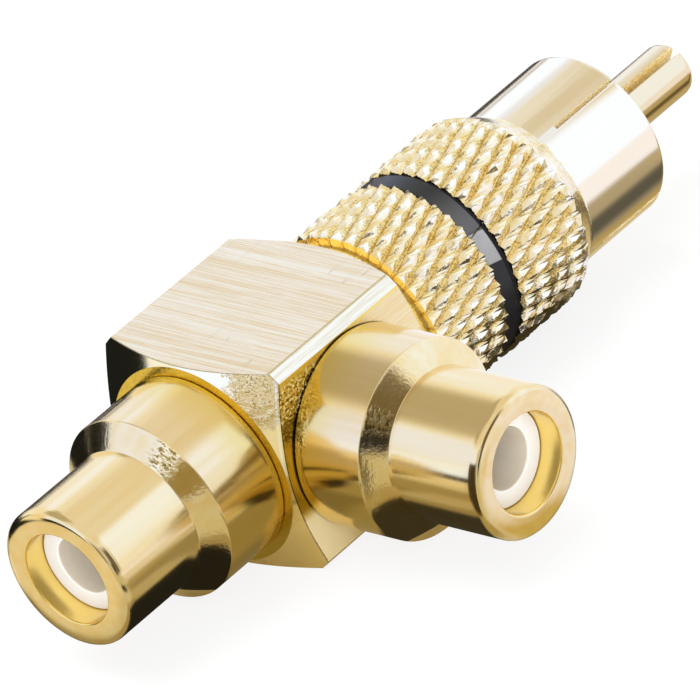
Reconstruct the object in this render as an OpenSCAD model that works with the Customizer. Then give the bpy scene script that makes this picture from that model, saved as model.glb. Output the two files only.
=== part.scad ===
// Splitter adapter for phono leads: one plug feeds two sockets set at right angles.
// The plug points along +Y, the inline jack along -Y and the side jack along +X.
// The origin is the centre of the plug's mouth, on the axis of its centre pin.

/* [Body block] */
// Width across the flats of the square bar that the body is cut from
bar_w = 12; // [11.8:0.1:12.4]
// Length of the body block
bar_len = 12; // [11.8:0.1:13]
// Size of the bevel along the four long edges
edge_bevel = 0.5; // [0.3:0.05:0.7]
// Diameter of the flat ring left on each turned end
end_flat_d = 11.8; // [11.2:0.1:11.9]
// Slope of the turned ends, in degrees from the end face
end_slope = 25.7; // [20:0.1:32]

/* [Jacks] */
// Diameter of the thick base of each jack
jack_base_d = 10.75; // [10.4:0.05:11]
// Length of the thick base
jack_base_len = 4.4; // [4:0.1:5]
// Length of the cone between the base and the barrel
jack_cone_len = 0.95; // [0.6:0.05:1.4]
// Diameter of the barrel that a plug's shell grips
jack_barrel_d = 8.2; // [8.1:0.05:8.3]
// Length of the barrel
jack_barrel_len = 5.85; // [5.5:0.05:7]
// Radius of the rounded front rim
jack_rim_r = 0.35; // [0.2:0.05:0.5]
// Diameter of the bore that holds the white insulator
jack_bore_d = 5.4; // [5.2:0.05:5.6]
// Depth of the insulator's face behind the rim
jack_recess = 1.4; // [1:0.1:1.8]
// Diameter of the hole in the insulator's face
jack_hole_d = 3.35; // [3.3:0.01:3.5]
// Inner diameter of the spring contact that takes a plug's pin
socket_d = 3.2; // [3.18:0.01:3.26]

/* [Knurled grip] */
// Diameter over the crests of the knurl
grip_d = 12; // [11.8:0.1:12.2]
// Gap between the body block and the grip
grip_gap = 1.08; // [0.8:0.02:1.4]
// Length of the knurled stretch behind the band
rear_knurl_len = 5.13; // [4.8:0.01:5.6]
// Length of the knurled stretch in front of the band
front_knurl_len = 5.37; // [5:0.01:5.8]
// Number of grooves round the grip in each direction
knurl_count = 40; // [32:2:44]
// Distance along the axis in which a groove moves on by one pitch
knurl_period = 2.74; // [2.4:0.02:3]
// Depth of the grooves below the crests
knurl_depth = 0.3; // [0.2:0.02:0.36]
// Length of the smooth cone in front of the knurl
grip_cone_len = 1.72; // [1.4:0.02:2]
// Width of the plastic band
band_w = 1.32; // [1.1:0.02:1.5]
// Diameter over the plastic band
band_d = 11.5; // [11.3:0.05:11.7]

/* [Plug] */
// Outer diameter of the slotted shell
shell_d = 9.92; // [9.8:0.02:10]
// Inner diameter of the slotted shell
shell_bore_d = 8.3; // [8.25:0.01:8.4]
// Length of the shell in front of the grip
shell_len = 6.5; // [6:0.1:7.5]
// Length of the four slots
shell_slot_len = 5.1; // [4:0.1:5.5]
// Width of the four slots
shell_slot_w = 0.34; // [0.25:0.01:0.5]
// Depth of the insulator's face behind the mouth
plug_recess = 7.8; // [7.4:0.1:8.4]
// Diameter of the centre pin
pin_d = 3.17; // [3.1:0.01:3.18]
// Length of the pin in front of the mouth
pin_reach = 7.3; // [7:0.1:8]
// Radius of the pin's rounded end
pin_tip_r = 0.6; // [0.4:0.05:0.9]
// Length of the slot that splits the pin
pin_slot_len = 9.5; // [8:0.1:11]
// Width of the slot that splits the pin
pin_slot_w = 0.54; // [0.4:0.02:0.7]

/* [Hidden] */

// Round surfaces are true rounds, so this number only sets how smooth the preview is
$fn = 96;

// Small lengths shared by several pieces
eps = 0.01;
fit_gap = 0.02;
broken_edge = 0.12;

// Places along the main axis
grip_front_y = -shell_len;
knurl_front_y = grip_front_y - grip_cone_len;
band_front_y = knurl_front_y - front_knurl_len;
band_rear_y = band_front_y - band_w;
grip_rear_y = band_rear_y - rear_knurl_len;
body_rear_y = grip_rear_y - grip_gap;
body_mid_y = body_rear_y - bar_len / 2;
body_front_y = body_rear_y - bar_len;

// Spigots that are pressed into the body, and the chamber between them
spigot_r = 3.5;
spigot_len = 2.3;
socket_depth = 2.4;
chamber_r = 2.6;

// Inside of a jack, measured outwards from the body's face
jack_base_r = jack_base_d / 2;
jack_barrel_r = jack_barrel_d / 2;
jack_bore_r = jack_bore_d / 2;
jack_front = jack_base_len + jack_cone_len + jack_barrel_len;
insulator_front = jack_front - jack_recess;
insulator_step = 3;
insulator_rear = -1.3;
rear_bore_r = 3;
washer_len = 0.9;

// Spring contact of a jack. A plug's pin ends about 2 mm behind the body's face, with its
// shell against the cone, so the contact is drilled deeper than that.
contact_wall = 0.5;
contact_r = socket_d / 2 + contact_wall;
contact_setback = 3.2;
contact_front = insulator_front - contact_setback;
contact_floor = -2.5;
contact_rear = -3.1;
contact_flange_r = 2.5;
contact_flange_len = 0.6;
contact_slot_w = 0.3;
contact_slot_len = 4.2;
tail_r = 1.3;
tail_len = 4.4;
tail_bore_depth = 1.1;

// Inside of the plug
shell_r = shell_d / 2;
shell_bore_r = shell_bore_d / 2;
collar_r = 5.2;
insulator_rear_y = -12.8;
shell_rear_bore_r = 2.9;
pin_r = pin_d / 2;
pin_root_r = 1.8;
pin_flange_r = 2.3;
pin_flange_y = -9.6;
pin_tail_y = -15.4;
pin_tail_r = 1.5;
pin_tail_bore_depth = 2;
// Angles of the slots about the axis, from +X towards +Z
shell_slot_angle = 56;
pin_slot_angle = 61;
// Angle of the cut across the plastic band, and how far it slants
band_cut_angle = 39;
band_cut_w = 0.09;
band_cut_slant = 12;

// Link between the three centre contacts
rod_r = 0.9;
lead_r = 0.45;
bead_r = 1.2;
bead_rise = 0.6;

// Radii of the grip
grip_r = grip_d / 2;
grip_bore_r = shell_r + fit_gap;
grip_lip_r = shell_r + 0.1;
groove_floor_r = 5.35;

// Local +Z turned to the plug's, the inline jack's and the side jack's direction
module toward_plug(y) translate([0, y, 0]) rotate([-90, 0, 0]) children();
module on_inline_face() translate([0, body_front_y, 0]) rotate([90, 0, 0]) children();
module on_side_face() translate([bar_w / 2, body_mid_y, 0]) rotate([0, 90, 0]) children();

// Points of a quarter round of radius r about [cr, cz], from angle a0 to a1
function arc_points(cr, cz, r, a0, a1, steps = 6) =
    [for (i = [0 : steps]) let (a = a0 + (a1 - a0) * i / steps) [cr + r * cos(a), cz + r * sin(a)]];

// A solid turned from an outline of [radius, height] points
module turned(outline) rotate_extrude() polygon(outline);

// Body

module bar_section() {
    h = bar_w / 2;
    c = h - edge_bevel;
    polygon([[c, -h], [h, -c], [h, c], [c, h], [-c, h], [-h, c], [-h, -c], [-c, -h]]);
}

// The turned ends leave a flat ring and a shallow cone that meets each flat in a curve
module turned_ends() {
    corner_r = bar_w;
    flat_r = end_flat_d / 2;
    drop = (corner_r - flat_r) * tan(end_slope);
    turned([[0, 0], [flat_r, 0], [corner_r, drop], [corner_r, bar_len - drop],
            [flat_r, bar_len], [0, bar_len]]);
}

module body_block() color("#d9bd7c") difference() {
    toward_plug(body_front_y) intersection() {
        linear_extrude(bar_len) bar_section();
        turned_ends();
    }
    toward_plug(body_front_y - eps) cylinder(r = spigot_r, h = socket_depth + eps);
    toward_plug(body_rear_y - socket_depth) cylinder(r = spigot_r, h = socket_depth + eps);
    toward_plug(body_front_y) cylinder(r = chamber_r, h = bar_len);
    on_side_face() translate([0, 0, -socket_depth]) cylinder(r = spigot_r, h = socket_depth + eps);
    on_side_face() translate([0, 0, -bar_w / 2]) cylinder(r = chamber_r, h = bar_w / 2);
}

// Jacks: each module is drawn outwards from the body's face

module jack_shell() {
    rim_c = jack_barrel_r - jack_rim_r;
    difference() {
        turned(concat(
            [[0, -spigot_len], [spigot_r - fit_gap - broken_edge, -spigot_len],
             [spigot_r - fit_gap, broken_edge - spigot_len], [spigot_r - fit_gap, 0],
             [jack_base_r - broken_edge, 0], [jack_base_r, broken_edge],
             [jack_base_r, jack_base_len], [jack_barrel_r, jack_base_len + jack_cone_len]],
            arc_points(rim_c, jack_front - jack_rim_r, jack_rim_r, 0, 90),
            [[0, jack_front]]));
        turned([[0, -spigot_len - 1], [rear_bore_r, -spigot_len - 1], [rear_bore_r, insulator_step],
                [jack_bore_r, insulator_step], [jack_bore_r, jack_front - broken_edge],
                [jack_bore_r + broken_edge, jack_front], [jack_bore_r + broken_edge, jack_front + 1],
                [0, jack_front + 1]]);
    }
}

// The insulator goes in from behind, and its step stops against the one in the bore
module jack_insulator() difference() {
    turned([[0, insulator_rear], [rear_bore_r - fit_gap, insulator_rear],
            [rear_bore_r - fit_gap, insulator_step], [jack_bore_r - fit_gap, insulator_step],
            [jack_bore_r - fit_gap, insulator_front], [0, insulator_front]]);
    turned([[0, insulator_rear - 1], [contact_flange_r + fit_gap, insulator_rear - 1],
            [contact_flange_r + fit_gap, insulator_rear + contact_flange_len],
            [contact_r + fit_gap, insulator_rear + contact_flange_len],
            [contact_r + fit_gap, contact_front], [jack_hole_d / 2, contact_front],
            [jack_hole_d / 2, insulator_front - broken_edge],
            [jack_hole_d / 2 + broken_edge, insulator_front],
            [jack_hole_d / 2 + broken_edge, insulator_front + 1], [0, insulator_front + 1]]);
}

// A tube with four sprung fingers in front, a flange that seats in the insulator, and a
// drilled tail that takes a link of radius link_r
module jack_contact(link_r) difference() {
    turned([[0, -tail_len], [tail_r, -tail_len], [tail_r, contact_rear], [contact_r, contact_rear],
            [contact_r, insulator_rear], [contact_flange_r, insulator_rear],
            [contact_flange_r, insulator_rear + contact_flange_len],
            [contact_r, insulator_rear + contact_flange_len], [contact_r, contact_front], [0, contact_front]]);
    turned([[0, contact_floor], [socket_d / 2, contact_floor + socket_d / 6],
            [socket_d / 2, contact_front - 2 * broken_edge],
            [socket_d / 2 + broken_edge, contact_front], [socket_d / 2 + broken_edge, contact_front + 1],
            [0, contact_front + 1]]);
    for (turn = [0, 90]) rotate([0, 0, turn + 45])
        translate([-contact_r - 1, -contact_slot_w / 2, contact_front - contact_slot_len])
            cube([2 * contact_r + 2, contact_slot_w, contact_slot_len + 1]);
    translate([0, 0, -tail_len - eps]) cylinder(r = link_r + fit_gap, h = tail_bore_depth + eps);
}

// Closes the jack behind, and holds the contact's flange in the insulator
module rear_washer() translate([0, 0, insulator_rear - washer_len]) difference() {
    cylinder(r = rear_bore_r - fit_gap, h = washer_len);
    translate([0, 0, -1]) cylinder(r = contact_r + fit_gap, h = washer_len + 2);
}

module inline_jack_shell() color("#dcc07f") on_inline_face() jack_shell();
module inline_jack_insulator() color("#f2f0ea") on_inline_face() jack_insulator();
module inline_jack_contact() color("#cfae62") on_inline_face() jack_contact(rod_r);
module inline_rear_washer() color("#e8e4d8") on_inline_face() rear_washer();
module side_jack_shell() color("#dcc07f") on_side_face() jack_shell();
module side_jack_insulator() color("#f2f0ea") on_side_face() jack_insulator();
module side_jack_contact() color("#cfae62") on_side_face() jack_contact(lead_r);
module side_rear_washer() color("#e8e4d8") on_side_face() rear_washer();

// Knurled grip

// Height of the knurl's surface above its groove floors, as a share of the depth.
// Grooves run where u or v is whole, and a crest is a blunt pyramid between four of them.
knurl_steps = 4;
shoulder_height = 0.68;
function groove_distance(u) = abs(u - round(u));
function crest_height(u, v) =
    let (d = min(groove_distance(u), groove_distance(v)))
    d < 0.2 ? 0 : d < 0.3 ? shoulder_height : 1;
function knurl_radius(i, k) =
    grip_r - knurl_depth * (1 - crest_height((i + k) / knurl_steps, (i - k) / knurl_steps));

// A rod with crossed grooves, from z = 0 up to at least the given length
module knurled_rod(length) {
    round_n = knurl_count * knurl_steps;
    row_h = knurl_period / knurl_steps;
    rows = ceil(length / row_h);
    points = [for (k = [0 : rows]) for (i = [0 : round_n - 1])
        let (r = knurl_radius(i, k), a = 360 * i / round_n) [r * cos(a), r * sin(a), k * row_h]];
    // Each square is split along the groove that crosses it, if one does
    function at(i, k) = k * round_n + (i % round_n);
    function rising(i, k) =
        let (u = (i + k + 1) / knurl_steps) groove_distance(u) < eps;
    skin = [for (k = [0 : rows - 1]) for (i = [0 : round_n - 1]) each
        rising(i, k)
        ? [[at(i, k), at(i, k + 1), at(i + 1, k)], [at(i + 1, k), at(i, k + 1), at(i + 1, k + 1)]]
        : [[at(i, k), at(i + 1, k + 1), at(i + 1, k)], [at(i, k), at(i, k + 1), at(i + 1, k + 1)]]];
    bottom = [[for (i = [0 : round_n - 1]) at(i, 0)]];
    top = [[for (i = [round_n - 1 : -1 : 0]) at(i, rows)]];
    polyhedron(points, concat(skin, bottom, top), convexity = 4);
}

module knurled_grip() color("#e2c884") toward_plug(grip_rear_y) {
    knurl_len = knurl_front_y - grip_rear_y;
    full_len = grip_front_y - grip_rear_y;
    outside_r = grip_r + 1;
    difference() {
        intersection() {
            translate([0, 0, -knurl_period / 2]) knurled_rod(full_len + knurl_period);
            turned([[0, 0], [grip_r - 2 * broken_edge, 0], [grip_r, broken_edge], [grip_r + eps, broken_edge],
                    [grip_r + eps, knurl_len], [grip_lip_r, full_len], [0, full_len]]);
        }
        translate([0, 0, -1]) cylinder(r = grip_bore_r, h = full_len + 2);
        translate([0, 0, rear_knurl_len]) difference() {
            cylinder(r = outside_r, h = band_w);
            translate([0, 0, -1]) cylinder(r = groove_floor_r, h = band_w + 2);
        }
    }
}

// The plastic band is a sprung ring with one slanted cut
module grip_band() color("#26272a") toward_plug(band_rear_y) difference() {
    translate([0, 0, fit_gap]) cylinder(r = band_d / 2, h = band_w - 2 * fit_gap);
    translate([0, 0, -1]) cylinder(r = groove_floor_r + fit_gap, h = band_w + 2);
    rotate([0, 0, -band_cut_angle]) translate([band_d / 2, 0, band_w / 2]) rotate([band_cut_slant, 0, 0])
        cube([4, band_cut_w, 2 * band_w], center = true);
}

// Plug

module plug_shell() color("#dcc07f") difference() {
    toward_plug(body_rear_y) {
        mouth = -body_rear_y;
        seat = grip_rear_y - body_rear_y;
        turned(concat(
            [[0, -spigot_len], [spigot_r - fit_gap - broken_edge, -spigot_len],
             [spigot_r - fit_gap, broken_edge - spigot_len], [spigot_r - fit_gap, 0],
             [collar_r, 0], [collar_r, seat], [shell_r, seat]],
            arc_points(shell_r - 2 * broken_edge, mouth - 2 * broken_edge, 2 * broken_edge, 0, 90),
            [[0, mouth]]));
    }
    toward_plug(insulator_rear_y) turned([[0, 0], [shell_bore_r, 0], [shell_bore_r, -insulator_rear_y - broken_edge],
        [shell_bore_r + broken_edge, -insulator_rear_y], [shell_bore_r + broken_edge, 1 - insulator_rear_y],
        [0, 1 - insulator_rear_y]]);
    toward_plug(body_rear_y - spigot_len - eps)
        cylinder(r = shell_rear_bore_r, h = insulator_rear_y - body_rear_y + spigot_len + 2 * eps);
    for (turn = [0, 90]) toward_plug(-shell_slot_len) rotate([0, 0, turn - shell_slot_angle]) {
        translate([-shell_d, -shell_slot_w / 2, 0]) cube([2 * shell_d, shell_slot_w, shell_slot_len + 1]);
        rotate([0, 90, 0]) cylinder(d = shell_slot_w, h = 2 * shell_d, center = true);
    }
}

module plug_insulator() color("#f2f0ea") difference() {
    toward_plug(insulator_rear_y) cylinder(r = shell_bore_r - fit_gap, h = -plug_recess - insulator_rear_y);
    toward_plug(insulator_rear_y - 1) cylinder(r = pin_root_r + fit_gap, h = 20);
    toward_plug(insulator_rear_y - eps) cylinder(r = pin_flange_r + fit_gap, h = pin_flange_y - insulator_rear_y + eps);
}

// A split pin with a rounded end, a flange held in the insulator and a drilled tail
module plug_pin() color("#dcc07f") difference() {
    toward_plug(pin_tail_y) {
        tip = pin_reach - pin_tail_y;
        flange = pin_flange_y - pin_tail_y;
        flange_rear = insulator_rear_y - pin_tail_y;
        root = -plug_recess - pin_tail_y;
        turned(concat(
            [[0, 0], [pin_tail_r, 0], [pin_tail_r, flange_rear], [pin_flange_r, flange_rear],
             [pin_flange_r, flange], [pin_root_r, flange], [pin_root_r, root], [pin_r, root]],
            arc_points(pin_r - pin_tip_r, tip - pin_tip_r, pin_tip_r, 0, 90),
            [[0, tip]]));
    }
    toward_plug(pin_reach - pin_slot_len) rotate([0, 0, -pin_slot_angle]) {
        translate([-pin_d, -pin_slot_w / 2, 0]) cube([2 * pin_d, pin_slot_w, pin_slot_len + 1]);
        rotate([0, 90, 0]) cylinder(d = pin_slot_w, h = 2 * pin_d, center = true);
    }
    toward_plug(pin_tail_y - eps) cylinder(r = rod_r + fit_gap, h = pin_tail_bore_depth + eps);
}

// Link between the centre contacts

rod_rear_y = body_front_y + tail_len - tail_bore_depth;
rod_front_y = pin_tail_y + pin_tail_bore_depth;
lead_end_x = bar_w / 2 - tail_len + tail_bore_depth;
lead_start_x = 0.2 - rod_r;

// The rod joins the pin to the inline contact, and the side lead goes through a hole across it
module centre_rod() color("#c9a45a") difference() {
    toward_plug(rod_rear_y) cylinder(r = rod_r, h = rod_front_y - rod_rear_y);
    translate([-rod_r - 1, body_mid_y, 0]) rotate([0, 90, 0]) cylinder(r = lead_r + fit_gap, h = 2 * rod_r + 2);
}

module side_lead() color("#c8c6c0") translate([lead_start_x, body_mid_y, 0]) rotate([0, 90, 0])
    cylinder(r = lead_r, h = lead_end_x - lead_start_x);

// A bead of solder round the lead, where it leaves the rod
module centre_solder() color("#b9bcc0") difference() {
    translate([0, body_mid_y, 0]) rotate([0, 90, 0])
        turned(concat([[lead_r, 0], [bead_r, 0]], arc_points(lead_r, bead_rise, bead_r - lead_r, 0, 90)));
    toward_plug(body_front_y) cylinder(r = rod_r, h = bar_len);
}

body_block();
knurled_grip();
grip_band();
plug_shell();
plug_insulator();
plug_pin();
inline_jack_shell();
inline_jack_insulator();
inline_jack_contact();
inline_rear_washer();
side_jack_shell();
side_jack_insulator();
side_jack_contact();
side_rear_washer();
centre_rod();
side_lead();
centre_solder();
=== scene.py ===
# Looks of a gold plated splitter adapter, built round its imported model.
import math

import bpy
from mathutils import Matrix, Vector


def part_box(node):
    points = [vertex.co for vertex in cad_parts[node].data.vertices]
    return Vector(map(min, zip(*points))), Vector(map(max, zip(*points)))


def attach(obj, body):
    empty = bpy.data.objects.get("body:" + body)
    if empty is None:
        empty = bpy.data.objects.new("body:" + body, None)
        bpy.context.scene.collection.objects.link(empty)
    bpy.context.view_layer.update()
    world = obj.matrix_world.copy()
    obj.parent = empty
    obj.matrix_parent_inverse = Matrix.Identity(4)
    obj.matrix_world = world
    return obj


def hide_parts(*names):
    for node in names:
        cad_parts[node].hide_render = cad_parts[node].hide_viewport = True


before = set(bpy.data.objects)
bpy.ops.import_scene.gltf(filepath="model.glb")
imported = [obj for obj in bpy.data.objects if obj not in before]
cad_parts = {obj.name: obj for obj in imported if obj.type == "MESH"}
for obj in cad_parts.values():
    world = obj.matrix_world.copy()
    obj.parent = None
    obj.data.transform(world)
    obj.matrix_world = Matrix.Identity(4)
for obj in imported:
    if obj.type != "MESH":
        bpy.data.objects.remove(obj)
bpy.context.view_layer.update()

# Sizes are in millimetres and become metres where a shape is drawn
MM = 0.001
MERGE = 1e-7
DEGREES = 180 / math.pi
X, Y, Z = range(3)


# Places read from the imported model

def node_box(node):
    low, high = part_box(node)
    return low / MM, high / MM


block_low, block_high = node_box("body_block")
grip_low, grip_high = node_box("knurled_grip")
band_low, band_high = node_box("grip_band")
pin_low, pin_high = node_box("plug_pin")
rod_low, rod_high = node_box("centre_rod")

bar_w = block_high.x - block_low.x
bar_len = block_high.y - block_low.y
block_mid_y = (block_low.y + block_high.y) / 2
jack_front = block_low.y - node_box("inline_jack_shell")[0].y
grip_r = (grip_high.x - grip_low.x) / 2
grip_len = grip_high.y - grip_low.y
rod_r = (rod_high.x - rod_low.x) / 2

# How many flat faces go round a turned piece
TURNED_STEPS = 192
PIN_STEPS = 128
HOLE_STEPS = 96
END_STEPS = 256

# Body block. A ROUND, here and below, is the rounding of an edge.
EDGE_BEVEL = 0.5
END_FLAT_R = 5.9
END_SLOPE = math.radians(25.7)
SOCKET_R = 3.5
SOCKET_DEPTH = 2.4
CHAMBER_R = 2.6
BLOCK_ROUND = 0.05

# Jacks, outwards from the block's face
SPIGOT_LEN = 2.3
SPIGOT_R = 3.48
SPIGOT_ROUND = 0.1
JACK_FOOT_ROUND = 0.14
JACK_BASE_R = 5.375
JACK_BASE_LEN = 4.4
JACK_BASE_ROUND = 0.06
JACK_CONE_LEN = 0.95
JACK_NECK_ROUND = 0.05
JACK_BARREL_R = 4.1
JACK_RIM_ROUND = 0.35
JACK_BORE_R = 2.7
JACK_BORE_ROUND = 0.12
JACK_REAR_BORE_R = 3.0
JACK_STEP = 3.0
JACK_RECESS = 1.4
JACK_HOLE_R = 1.675
JACK_HOLE_ROUND = 0.1
BUSH_ROUND = 0.08
BUSH_REAR = -1.3
CONTACT_R = 2.1
CONTACT_SETBACK = 3.2
CONTACT_FLANGE_R = 2.5
CONTACT_FLANGE_LEN = 0.6
FIT_GAP = 0.02

# Knurled grip, forwards from its rear face
KNURL_COUNT = 40
KNURL_PERIOD = 2.74
KNURL_DEPTH = 0.3
# Each diamond's flank as steps of [inwards, upwards]
KNURL_STEPS = ((0.03, 0.0), (0.15, 0.13), (0.15, 0.13), (0.05, 0.03))
KNURL_WAVER = 0.012
# How far the shallower family of grooves rises between two crossings
KNURL_SADDLE = 0.15
# What a groove's edge has to climb, in cubic millimetres, to belong to that family
KNURL_CLIMB = 0.01
KNURL_LEN = 11.82
GRIP_BORE_R = 4.98
GRIP_CHAMFER_R = 0.24
GRIP_CHAMFER_LEN = 0.14
GRIP_LIP_R = 5.06
GRIP_LIP_LEN = 0.1
REAR_KNURL_LEN = 5.13
BAND_W = 1.32
BAND_R = 5.75
BAND_ROUND = 0.06
GROOVE_FLOOR_R = 5.35
BAND_CUT_ANGLE = math.radians(39)
BAND_CUT_SLANT = math.radians(12)
BAND_CUT_W = 0.09
BAND_SAW_LEN = 4
BAND_CUT_ROUND = 0.02

# Plug
SHELL_R = 4.96
SHELL_ROUND = 0.22
SHELL_BORE_R = 4.15
SHELL_BORE_ROUND = 0.12
SHELL_REAR_BORE_R = 2.9
COLLAR_R = 5.2
COLLAR_ROUND = 0.05
SHELL_SLOT_LEN = 5.1
SHELL_SLOT_W = 0.34
SHELL_SLOT_ANGLE = math.radians(56)
SHELL_SLOT_ROUND = 0.03
PLUG_RECESS = 7.8
BUSH_LEN = 5.0
PIN_R = 1.585
PIN_ROOT_R = 1.8
PIN_FLANGE_R = 2.3
PIN_FLANGE_Y = -9.6
PIN_TAIL_R = 1.5
PIN_TAIL_LEN = 2.6
PIN_TAIL_BORE = 2.0
PIN_TAIL_ROUND = 0.1
PIN_TIP_ROUND = 0.6
PIN_SLOT_LEN = 9.5
PIN_SLOT_W = 0.54
PIN_SLOT_ANGLE = math.radians(61)
PIN_SLOT_ROUND = 0.06


# Camera

CAMERA_AIM = Vector((1.1343, -22.1054, 0.3688)) * MM
CAMERA_DISTANCE = 560 * MM
CAMERA_AZIMUTH = math.radians(47.3379)
CAMERA_ELEVATION = math.radians(30.2734)
CAMERA_ROLL = math.radians(-15.3878)
CAMERA_LENS = 551.348
CAMERA_SENSOR = 36


def add_camera():
    camera = bpy.data.objects.new("camera", bpy.data.cameras.new("camera"))
    bpy.context.scene.collection.objects.link(camera)
    camera.data.sensor_width = CAMERA_SENSOR
    camera.data.lens = CAMERA_LENS
    camera.data.clip_start = 0.01
    camera.data.clip_end = 5
    tip = Matrix.Rotation(math.pi / 2 - CAMERA_ELEVATION, 4, "X")
    turn = Matrix.Rotation(CAMERA_AZIMUTH, 4, "Z") @ tip
    back = turn @ Vector((0, 0, 1))
    place = Matrix.Translation(CAMERA_AIM + back * CAMERA_DISTANCE)
    camera.matrix_world = place @ turn @ Matrix.Rotation(CAMERA_ROLL, 4, "Z")
    bpy.context.scene.camera = camera


# Modelling

def towards_plug(y):
    return Matrix.Translation((0, y * MM, 0)) @ Matrix.Rotation(-math.pi / 2, 4, "X")


def on_inline_face():
    return Matrix.Translation((0, block_low.y * MM, 0)) @ Matrix.Rotation(math.pi / 2, 4, "X")


def on_side_face():
    face = Matrix.Translation((block_high.x * MM, block_mid_y * MM, 0))
    return face @ Matrix.Rotation(math.pi / 2, 4, "Y")


def select_nothing():
    for item in bpy.context.selected_objects:
        item.select_set(False)


def select_only(piece):
    select_nothing()
    bpy.context.view_layer.objects.active = piece
    piece.select_set(True)


def added(name, primitive, **settings):
    """A new primitive of that name."""
    select_nothing()
    primitive(**settings)
    piece = bpy.context.object
    piece.name = piece.data.name = name
    return piece


def select_all(action="SELECT"):
    bpy.ops.mesh.select_all(action=action)


def edit(select="SELECT", by="VERT"):
    bpy.ops.object.mode_set(mode="EDIT")
    bpy.ops.mesh.select_mode(type=by)
    select_all(select)


def leave_edit():
    bpy.ops.object.mode_set(mode="OBJECT")


def edit_edges(piece, wanted):
    """Selects the edges for whose two ends the test holds, in edit mode."""
    edit("DESELECT", by="EDGE")
    leave_edit()
    for edge in piece.data.edges:
        a, b = (piece.data.vertices[i].co for i in edge.vertices)
        edge.select = wanted(a, b)
    bpy.ops.object.mode_set(mode="EDIT")


def settle(piece, place=Matrix.Identity(4)):
    """Puts the piece in its place and leaves that place in its mesh."""
    select_only(piece)
    bpy.context.view_layer.update()
    piece.matrix_world = place @ piece.matrix_world
    bpy.ops.object.transform_apply(location=True, rotation=True, scale=True)
    return piece


def rounded(corners, arc_steps=4):
    """The points of an outline whose corners are [radius, height, rounding].

    A rounding becomes an arc, with a guard point on each side where there is room."""
    points = []
    for i, (r, z, rounding) in enumerate(corners):
        here = Vector((r, 0, z))
        if not rounding:
            points.append(here)
            continue
        before = Vector((corners[i - 1][0], 0, corners[i - 1][1]))
        after = Vector((corners[i + 1][0], 0, corners[i + 1][1]))
        a, b = (before - here).normalized(), (after - here).normalized()
        half = a.angle(b) / 2
        run = rounding / math.tan(half)
        guard = min(run * 1.5, (before - here).length * 0.45, (after - here).length * 0.45)
        centre = here + (a + b).normalized() * rounding / math.sin(half)
        start, end = (here + a * run - centre).normalized(), (here + b * run - centre).normalized()
        if guard > run:
            points.append(here + a * guard)
        for step in range(arc_steps + 1):
            points.append(centre + start.slerp(end, step / arc_steps) * rounding)
        if guard > run:
            points.append(here + b * guard)
    return [p * MM for p in points]


def turned(name, corners, place=Matrix.Identity(4), steps=TURNED_STEPS):
    """A point drawn out into the outline, and the outline spun about the axis."""
    points = rounded(corners)
    piece = added(name, bpy.ops.mesh.primitive_plane_add, size=MM)
    edit()
    bpy.ops.mesh.merge(type="CENTER")
    bpy.ops.transform.translate(value=points[0])
    for a, b in zip(points, points[1:]):
        bpy.ops.mesh.extrude_region_move(TRANSFORM_OT_translate={"value": b - a})
    select_all()
    bpy.ops.mesh.spin(steps=steps, angle=2 * math.pi, center=(0, 0, 0), axis=(0, 0, 1))
    select_all()
    bpy.ops.mesh.remove_doubles(threshold=MERGE)
    bpy.ops.mesh.normals_make_consistent(inside=False)
    leave_edit()
    return settle(piece, place)


def bar(name, size, place):
    """A straight bar of the given size about its own middle."""
    piece = added(name, bpy.ops.mesh.primitive_cube_add, size=MM)
    piece.scale = size
    return settle(piece, place)


def apply(piece, modifier):
    select_only(piece)
    bpy.ops.object.modifier_apply(modifier=modifier.name)


def carve(piece, cutter, operation="DIFFERENCE"):
    modifier = piece.modifiers.new("carve", "BOOLEAN")
    modifier.operation = operation
    modifier.solver = "EXACT"
    modifier.object = cutter
    apply(piece, modifier)
    bpy.data.objects.remove(cutter)
    return piece


def soften(piece, width, angle=40):
    """Breaks the edges that are sharper than the angle."""
    modifier = piece.modifiers.new("soften", "BEVEL")
    modifier.width = width * MM
    modifier.segments = 2
    modifier.limit_method = "ANGLE"
    modifier.angle_limit = math.radians(angle)
    modifier.use_clamp_overlap = True
    apply(piece, modifier)
    return piece


def smooth(piece, angle=30):
    select_only(piece)
    bpy.ops.object.shade_smooth_by_angle(angle=math.radians(angle))
    return piece


# Body block

def make_block():
    def is_long(a, b):
        return abs(a.y - b.y) > bar_len * MM / 2

    block = bar("block", (bar_w, bar_len, bar_w), Matrix.Translation((0, block_mid_y * MM, 0)))
    edit_edges(block, is_long)
    bpy.ops.mesh.bevel(offset=EDGE_BEVEL * MM, segments=1, affect="EDGES")
    leave_edit()
    reach = bar_w
    drop = (reach - END_FLAT_R) * math.tan(END_SLOPE)
    ends = [
        (0, 0, 0), (END_FLAT_R, 0, 0), (reach, drop, 0),
        (reach, bar_len - drop, 0), (END_FLAT_R, bar_len, 0), (0, bar_len, 0),
    ]
    carve(block, turned("ends", ends, towards_plug(block_low.y), steps=END_STEPS), "INTERSECT")
    clear, deep = -1, bar_len / 2
    hole = [
        (0, clear, 0), (SOCKET_R, clear, 0), (SOCKET_R, SOCKET_DEPTH, 0),
        (CHAMBER_R, SOCKET_DEPTH, 0), (CHAMBER_R, deep, 0), (0, deep, 0),
    ]
    inwards = Matrix.Rotation(math.pi, 4, "X")
    for place in (on_inline_face(), towards_plug(block_high.y), on_side_face()):
        carve(block, turned("hole", hole, place @ inwards, steps=HOLE_STEPS))
    soften(block, BLOCK_ROUND, angle=12)
    return smooth(block, angle=20)


# Jacks

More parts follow.
